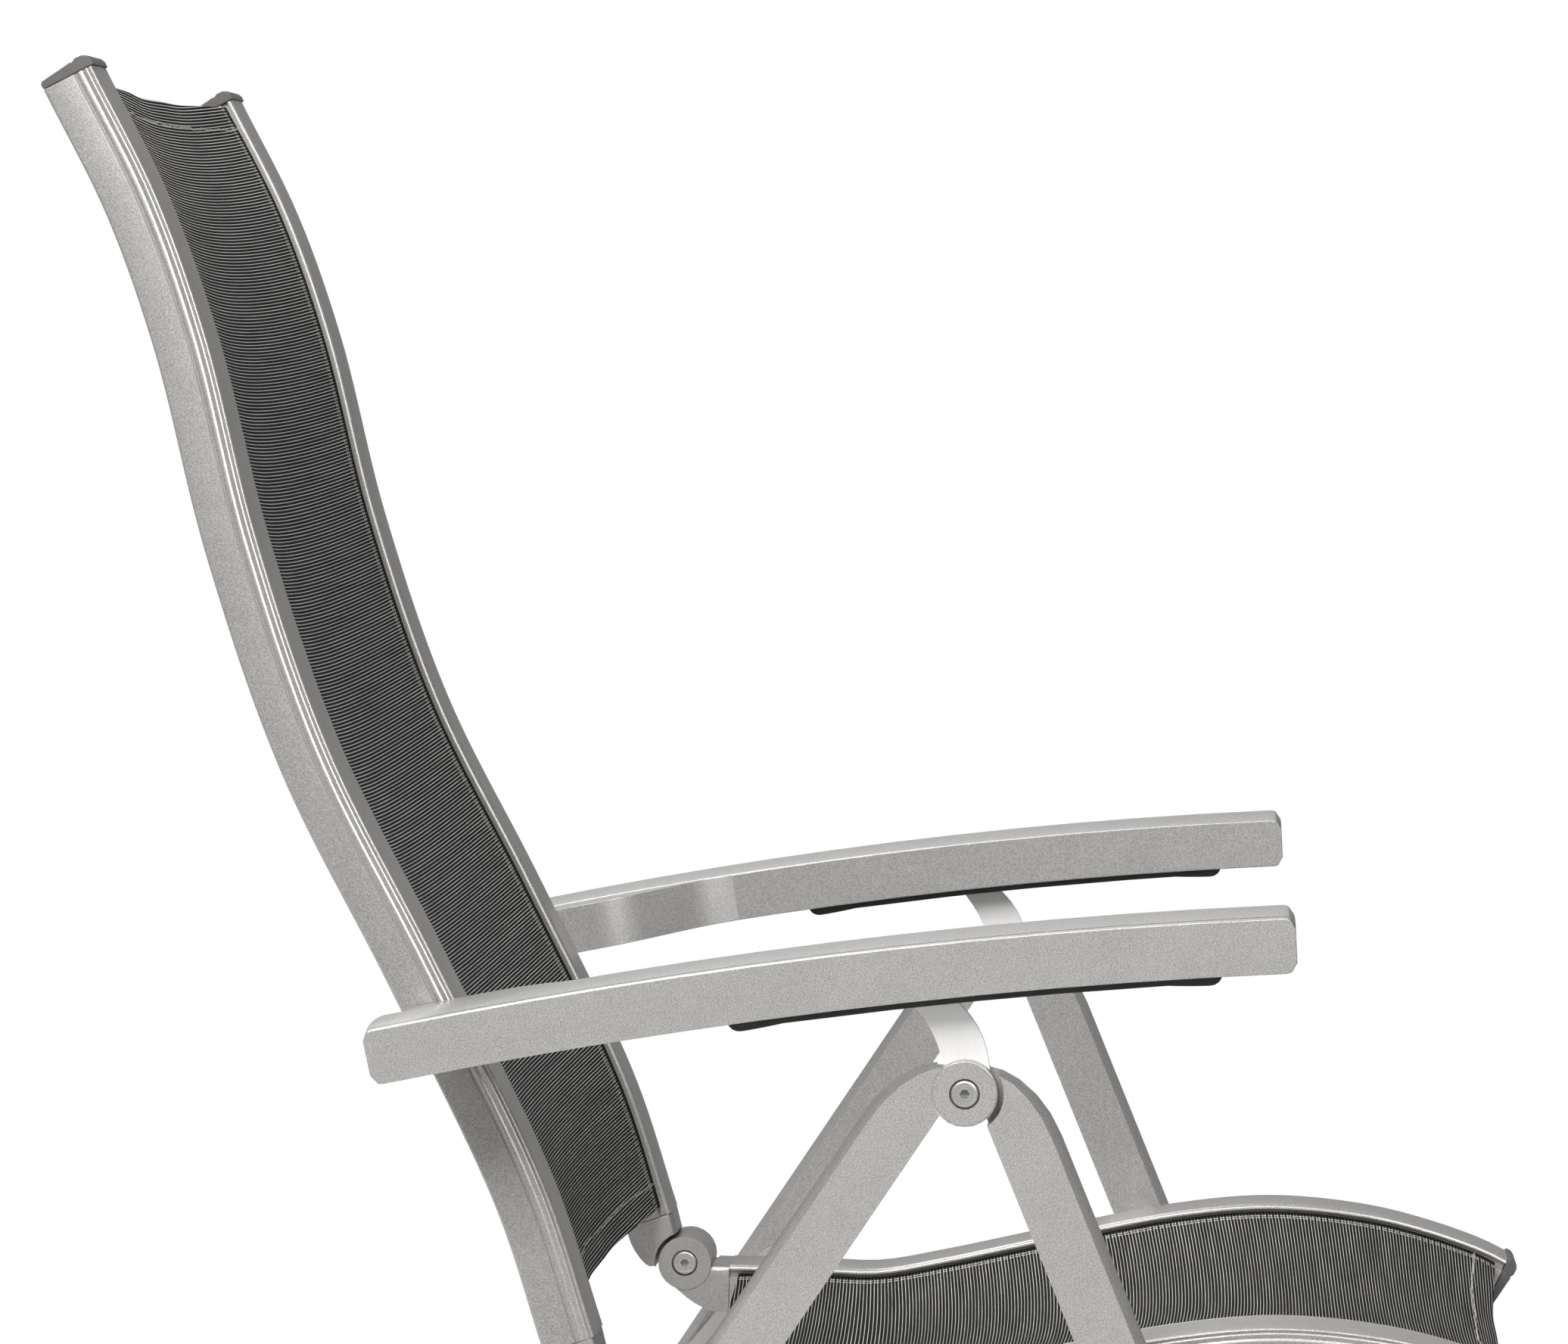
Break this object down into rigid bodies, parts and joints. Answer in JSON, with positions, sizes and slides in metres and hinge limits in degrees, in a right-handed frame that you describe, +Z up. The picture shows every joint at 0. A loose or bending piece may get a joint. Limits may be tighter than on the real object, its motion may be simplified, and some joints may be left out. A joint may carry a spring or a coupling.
{
  "type": "folding sling patio chair",
  "caption": "Folding high-back patio chair with a cloth sling on curved metal rails, crossed legs and armrests that set the recline",
  "frame": {"origin": "Middle of the footprint on the floor, under the middle of the chair between its side planes.", "axes": "X runs across the chair with the sitter's left at +X; the chair faces -Y; Z is up. X is the mirror axis."},
  "size_m": [0.649, 0.7354, 1.0645],
  "materials": {
    "coated_aluminium": "silver-grey metallic powder coat with a fine grain",
    "cast_aluminium": "silver-grey metallic powder coat on castings",
    "stainless_steel": "satin",
    "zinc_plated_steel": "satin zinc plate",
    "grey_plastic": "fine satin",
    "black_nylon": "satin",
    "woven_textilene": "coated polyester weave with light and dark ribs"
  },
  "bodies": {
    "back": {"back_rail_right": "coated_aluminium", "back_rail_cap_right": "grey_plastic", "back_knuckle_right": "cast_aluminium", "back_rail_left": "coated_aluminium", "back_rail_cap_left": "grey_plastic", "back_knuckle_left": "cast_aluminium", "back_sling": "woven_textilene", "back_spreader_lower": "coated_aluminium", "back_spreader_upper": "coated_aluminium"},
    "seat": {"seat_rail_right": "coated_aluminium", "seat_rail_cap_right": "grey_plastic", "seat_knuckle_right": "cast_aluminium", "seat_slide_pin_right": "stainless_steel", "seat_rail_left": "coated_aluminium", "seat_rail_cap_left": "grey_plastic", "seat_knuckle_left": "cast_aluminium", "seat_slide_pin_left": "stainless_steel", "seat_sling": "woven_textilene", "seat_spreader_front": "coated_aluminium", "seat_spreader_rear": "coated_aluminium"},
    "hinge_bolts": {"hinge_bolt_right": "zinc_plated_steel", "hinge_bolt_left": "zinc_plated_steel"},
    "front_legs": {"front_leg_right": "coated_aluminium", "front_foot_right": "grey_plastic", "leg_pivot_bolt_right": "zinc_plated_steel", "seat_pivot_bolt_right": "zinc_plated_steel", "stay_right": "stainless_steel", "stay_pin_right": "stainless_steel", "front_leg_left": "coated_aluminium", "front_foot_left": "grey_plastic", "leg_pivot_bolt_left": "zinc_plated_steel", "seat_pivot_bolt_left": "zinc_plated_steel", "stay_left": "stainless_steel", "stay_pin_left": "stainless_steel", "front_cross_tube": "coated_aluminium"},
    "rear_legs": {"rear_leg_right": "coated_aluminium", "rear_foot_right": "grey_plastic", "slide_track_right": "stainless_steel", "rear_leg_left": "coated_aluminium", "rear_foot_left": "grey_plastic", "slide_track_left": "stainless_steel", "rear_cross_tube": "coated_aluminium"},
    "armrest_right": {"armrest_right": "coated_aluminium", "armrest_rack_right": "black_nylon", "armrest_knuckle_right": "cast_aluminium"},
    "armrest_pivots": {"armrest_bush_right": "zinc_plated_steel", "armrest_bolt_right": "zinc_plated_steel", "armrest_bush_left": "zinc_plated_steel", "armrest_bolt_left": "zinc_plated_steel"},
    "armrest_left": {"armrest_left": "coated_aluminium", "armrest_rack_left": "black_nylon", "armrest_knuckle_left": "cast_aluminium"}
  },
  "joints": [
    {"name": "leg_fold", "type": "hinge", "parent": "front_legs", "child": "rear_legs", "pos_m": [0, -0.08349, 0.572], "axis": [-1, 0, 0], "range_deg": [0, 55.9]},
    {"name": "seat_fold", "type": "hinge", "parent": "front_legs", "child": "seat", "pos_m": [0, -0.15849, 0.427], "axis": [-1, 0, 0], "range_deg": [0, 88]},
    {"name": "back_fold", "type": "hinge", "parent": "seat", "child": "hinge_bolts", "pos_m": [0, 0.09181, 0.415], "axis": [1, 0, 0], "range_deg": [0, 88]},
    {"name": "recline", "type": "hinge", "parent": "hinge_bolts", "child": "back", "pos_m": [0, 0.09181, 0.415], "axis": [-1, 0, 0], "range_deg": [-8, 22]},
    {"name": "armrest_fold", "type": "hinge", "parent": "back", "child": "armrest_pivots", "pos_m": [0, 0.17701, 0.595], "axis": [-1, 0, 0], "range_deg": [0, 108]},
    {"name": "armrest_tilt_right", "type": "hinge", "parent": "armrest_pivots", "child": "armrest_right", "pos_m": [-0.2965, 0.17701, 0.595], "axis": [1, 0, 0], "range_deg": [-5.7, 15.5]},
    {"name": "armrest_tilt_left", "type": "hinge", "parent": "armrest_pivots", "child": "armrest_left", "pos_m": [0.2965, 0.17701, 0.595], "axis": [1, 0, 0], "range_deg": [-5.7, 15.5]}
  ],
  "couplings": [
    {"joint": "seat_fold", "follows": "leg_fold", "ratio": 1.574},
    {"joint": "back_fold", "follows": "leg_fold", "ratio": 1.574},
    {"joint": "armrest_fold", "follows": "leg_fold", "ratio": 1.932},
    {"joint": "armrest_tilt_right", "follows": "recline", "ratio": 0.7},
    {"joint": "armrest_tilt_left", "follows": "recline", "ratio": 0.7}
  ]
}
